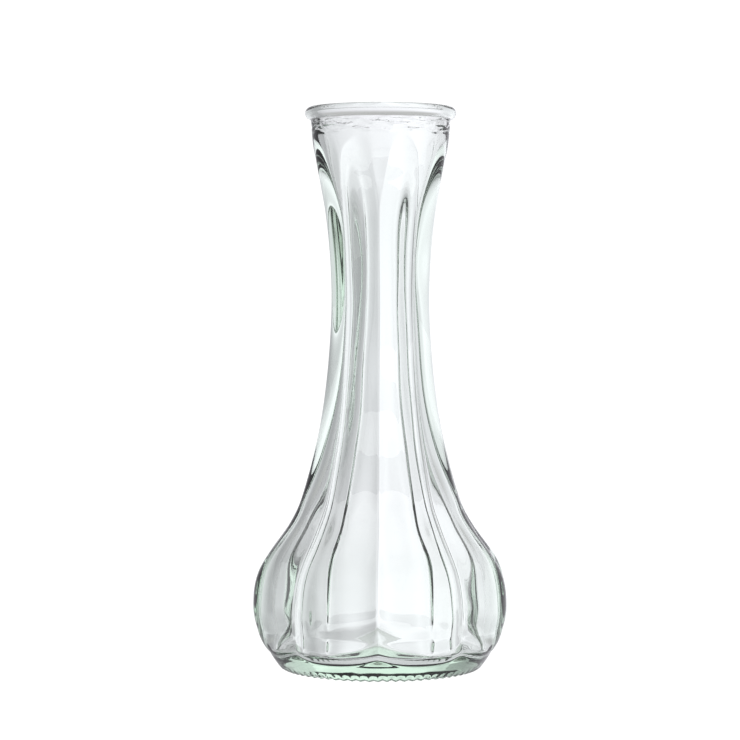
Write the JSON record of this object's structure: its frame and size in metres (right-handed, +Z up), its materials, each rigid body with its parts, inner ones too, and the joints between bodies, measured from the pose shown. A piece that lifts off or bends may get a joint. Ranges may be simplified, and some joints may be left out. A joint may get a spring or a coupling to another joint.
{
  "type": "glass bud vase",
  "caption": "Clear glass bud vase with a round lobed bulb, a long fluted neck that flares to a plain collar, and a beaded rim, for one stem or a small posy.",
  "frame": {"origin": "centre of the foot, on the surface that the vase stands on", "axes": "+Z up along the vase's axis, from the foot to the mouth. -Y is the side with a crease between two lobes that faces the viewer. +X is to that viewer's right."},
  "size_m": [0.0718, 0.0718, 0.16],
  "materials": {
    "glass": "clear, fire-polished, faint green where it is thick"
  },
  "bodies": {
    "root": {"glass_base": "glass", "glass_bulb": "glass", "glass_neck": "glass", "glass_rim": "glass"}
  },
  "joints": []
}
